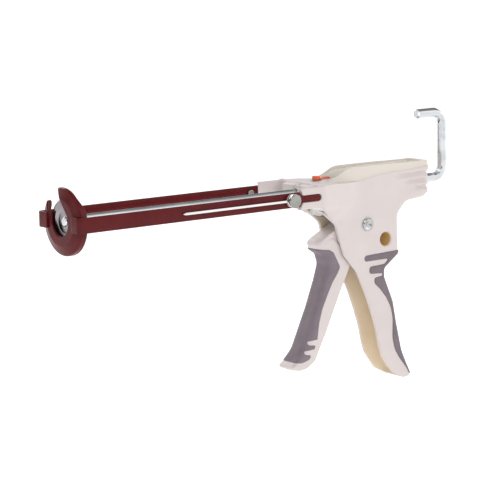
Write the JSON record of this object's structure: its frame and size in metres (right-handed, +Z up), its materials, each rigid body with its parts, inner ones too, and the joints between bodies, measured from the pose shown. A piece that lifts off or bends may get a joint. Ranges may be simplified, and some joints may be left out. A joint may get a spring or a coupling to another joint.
{
  "type": "caulking gun",
  "caption": "Hand caulking gun: rail cradle with notched front plate, hooked hexagonal push rod, trigger handle, thumb release and folding seal needle.",
  "frame": {"origin": "on the push rod's axis, where the cartridge's front shoulder rests in the front plate", "axes": "+X from the front plate back to the hook, along the push rod; +Z up, towards the hook's top; +Y to the side away from the puncture needle"},
  "size_m": [0.4305, 0.0702, 0.2472],
  "materials": {
    "red_steel": "dark wine-red enamel",
    "cream_plastic": "fine moulded texture",
    "grey_rubber": "soft overmould",
    "zinc_steel": "bright zinc plate",
    "chrome": "polished",
    "spring_steel": "drawn wire",
    "hard_steel": "hardened plate",
    "orange_plastic": "moulded",
    "nylon": "natural"
  },
  "bodies": {
    "frame": {"front_plate": "red_steel", "near_rail": "red_steel", "far_rail": "red_steel", "rail_studs": "zinc_steel", "needle_washer": "nylon", "body_housing": "cream_plastic", "grip_overmould": "grey_rubber", "front_guide_bush": "nylon", "rear_guide_bush": "nylon", "pivot_bolt": "chrome", "pivot_bush": "nylon", "pivot_nut": "zinc_steel", "trigger_spring": "spring_steel", "brake_pin": "hard_steel", "spring_seat": "hard_steel", "drive_spring": "spring_steel", "brake_spring": "spring_steel"},
    "rod": {"push_rod": "zinc_steel", "push_plate": "zinc_steel", "plate_rivet": "zinc_steel", "plate_washer": "hard_steel"},
    "trigger": {"trigger_lever": "cream_plastic", "trigger_pad": "grey_rubber", "drive_roller": "hard_steel", "roller_pin": "hard_steel"},
    "drive": {"drive_plate": "hard_steel"},
    "brake": {"brake_plate": "hard_steel", "release_tab": "orange_plastic"},
    "needle": {"puncture_needle": "chrome"}
  },
  "joints": [
    {"name": "trigger_pull", "type": "hinge", "parent": "frame", "child": "trigger", "pos_m": [0.318, 0, -0.033], "axis": [0, -1, 0], "range_deg": [0, 20], "stiffness_Nm_per_rad": 0.35, "springref_deg": -22.92, "deforming": ["drive_spring"]},
    {"name": "drive_stroke", "type": "slide", "parent": "frame", "child": "drive", "axis": [-1, 0, 0], "range_m": [0, 0.0073]},
    {"name": "rod_slide", "type": "slide", "parent": "frame", "child": "rod", "axis": [1, 0, 0], "range_m": [0, 0.235]},
    {"name": "release_press", "type": "hinge", "parent": "frame", "child": "brake", "pos_m": [0.27, 0, -0.0135], "axis": [0, -1, 0], "range_deg": [0, 5], "stiffness_Nm_per_rad": 0.4, "springref_deg": -5.73, "deforming": ["brake_spring"]},
    {"name": "needle_swing", "type": "hinge", "parent": "frame", "child": "needle", "pos_m": [0.217, -0.0325, 0], "axis": [0, -1, 0], "range_deg": [0, 150]}
  ],
  "couplings": [
    {"joint": "drive_stroke", "follows": "trigger_pull", "m_per_rad": 0.0205}
  ]
}
